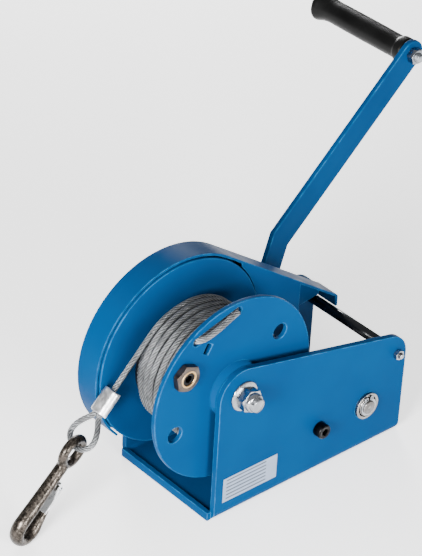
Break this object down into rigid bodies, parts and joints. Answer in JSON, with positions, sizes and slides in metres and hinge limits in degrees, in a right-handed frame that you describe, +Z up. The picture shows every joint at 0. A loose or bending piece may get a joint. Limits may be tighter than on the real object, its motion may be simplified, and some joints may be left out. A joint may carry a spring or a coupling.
{
  "type": "boat trailer winch",
  "caption": "Hand-cranked brake winch with a bent steel frame, geared rope drum under a cover, screw brake, wire rope and snap hook.",
  "frame": {"origin": "centre of the four base bolt holes, on the underside of the base", "axes": "+X towards the rear, away from the rope; +Y towards the crank side, along the drum axle; +Z up"},
  "size_m": [0.5243, 0.3095, 0.2476],
  "materials": {
    "blue_paint": "gloss",
    "label": "satin",
    "zinc": "satin",
    "bearing_steel": "polished",
    "gear_steel": "oiled",
    "black_oxide": "satin",
    "black_paint": "satin",
    "bronze": "satin",
    "nylon": "matt",
    "friction_lining": "matt",
    "wire_rope": "satin",
    "rusty_steel": "matt",
    "ferrule_alloy": "satin",
    "forged_steel": "satin",
    "latch_steel": "satin",
    "grip_rubber": "matt"
  },
  "bodies": {
    "frame_body": {"frame": "blue_paint", "label_plate": "label", "gear_cover": "blue_paint", "cover_screws": "zinc", "axle_bolt": "zinc", "axle_sleeve": "zinc", "axle_nut": "zinc", "idler_axle": "zinc", "idler_spacer": "zinc", "idler_screws": "black_oxide", "tie_rod": "black_paint", "tie_rod_nuts": "zinc", "bearing_outer": "bearing_steel", "far_bush": "bronze", "pawl_pin": "zinc", "pawl_spring": "black_oxide", "rope_lead": "wire_rope", "ferrule": "ferrule_alloy", "rope_eye": "wire_rope"},
    "drum_body": {"drum_tube": "blue_paint", "near_flange": "blue_paint", "far_flange": "blue_paint", "drum_gear": "gear_steel", "drum_bushes": "nylon", "rope_winding": "wire_rope", "rope_tail": "wire_rope", "clamp_nut": "rusty_steel", "clamp_screw": "black_oxide"},
    "idler_body": {"idler_pinion": "gear_steel", "idler_gear": "gear_steel", "idler_bush": "bronze"},
    "crank_body": {"crank_shaft": "bearing_steel", "crank_pinion": "gear_steel", "bearing_inner": "bearing_steel", "bearing_balls": "bearing_steel", "shaft_circlip": "zinc", "pressure_disc": "gear_steel", "friction_discs": "friction_lining", "crank_hub": "blue_paint", "crank_arm": "blue_paint", "hub_washer": "zinc", "hub_nut": "zinc", "grip_bolt": "zinc", "grip_sleeve": "zinc", "grip_nut": "zinc"},
    "ratchet_body": {"ratchet_wheel": "gear_steel"},
    "pawl_body": {"pawl": "gear_steel"},
    "grip_body": {"grip": "grip_rubber"},
    "hook_body": {"hook": "forged_steel", "latch_pin": "zinc", "latch_spring": "latch_steel"},
    "latch_body": {"hook_latch": "latch_steel"}
  },
  "joints": [
    {"name": "drum_spin", "type": "hinge", "parent": "frame_body", "child": "drum_body", "pos_m": [-0.078, 0, 0.1135], "axis": [0, 1, 0], "continuous": true},
    {"name": "idler_spin", "type": "hinge", "parent": "frame_body", "child": "idler_body", "pos_m": [0.00758, 0, 0.044], "axis": [0, 1, 0], "continuous": true},
    {"name": "crank_spin", "type": "hinge", "parent": "frame_body", "child": "crank_body", "pos_m": [0.06008, 0, 0.044], "axis": [0, 1, 0], "continuous": true},
    {"name": "ratchet_spin", "type": "hinge", "parent": "frame_body", "child": "ratchet_body", "pos_m": [0.06008, 0, 0.044], "axis": [0, 1, 0], "continuous": true},
    {"name": "pawl_lift", "type": "hinge", "parent": "frame_body", "child": "pawl_body", "pos_m": [0.034, 0.07, 0.078], "axis": [0, 1, 0], "range_deg": [0, 12]},
    {"name": "grip_spin", "type": "hinge", "parent": "crank_body", "child": "grip_body", "pos_m": [0.25785, 0.175, 0.23365], "axis": [0, 1, 0], "continuous": true},
    {"name": "hook_swing", "type": "hinge", "parent": "frame_body", "child": "hook_body", "pos_m": [-0.1894, 0.01, 0.07372], "axis": [0, 1, 0], "range_deg": [0, 40]},
    {"name": "latch_press", "type": "hinge", "parent": "hook_body", "child": "latch_body", "pos_m": [-0.20833, 0.01124, 0.04443], "axis": [-0.2111, 0.9613, 0.1772], "range_deg": [0, 16], "stiffness_Nm_per_rad": 0.02, "springref_deg": -17.19}
  ],
  "couplings": [
    {"joint": "idler_spin", "follows": "drum_spin", "ratio": -2.3158},
    {"joint": "crank_spin", "follows": "drum_spin", "ratio": 4.6316}
  ]
}
